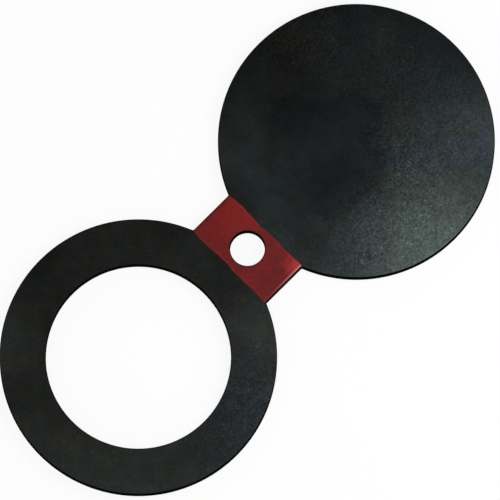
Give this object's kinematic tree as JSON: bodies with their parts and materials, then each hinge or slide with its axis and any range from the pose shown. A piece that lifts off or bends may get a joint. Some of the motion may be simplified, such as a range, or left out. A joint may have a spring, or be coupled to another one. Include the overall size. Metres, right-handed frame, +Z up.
{
  "type": "spectacle blind",
  "caption": "Figure-eight line blind: a solid round blank and an open ring spacer, joined by a flat web with a swing hole, turned between pipe flanges to shut or open a line.",
  "frame": {"origin": "on the axis of the swing hole, at the underside of the plate, which is the middle of the plate's lower face", "axes": "+X from the swing hole to the centre of the blank, +Y across the web, +Z up through the plate's thickness; the plate lies flat on its lower face"},
  "size_m": [0.3618, 0.1714, 0.0095],
  "materials": {
    "blackened_steel": "satin"
  },
  "bodies": {
    "root": {"figure_eight_plate": "blackened_steel"}
  },
  "joints": []
}
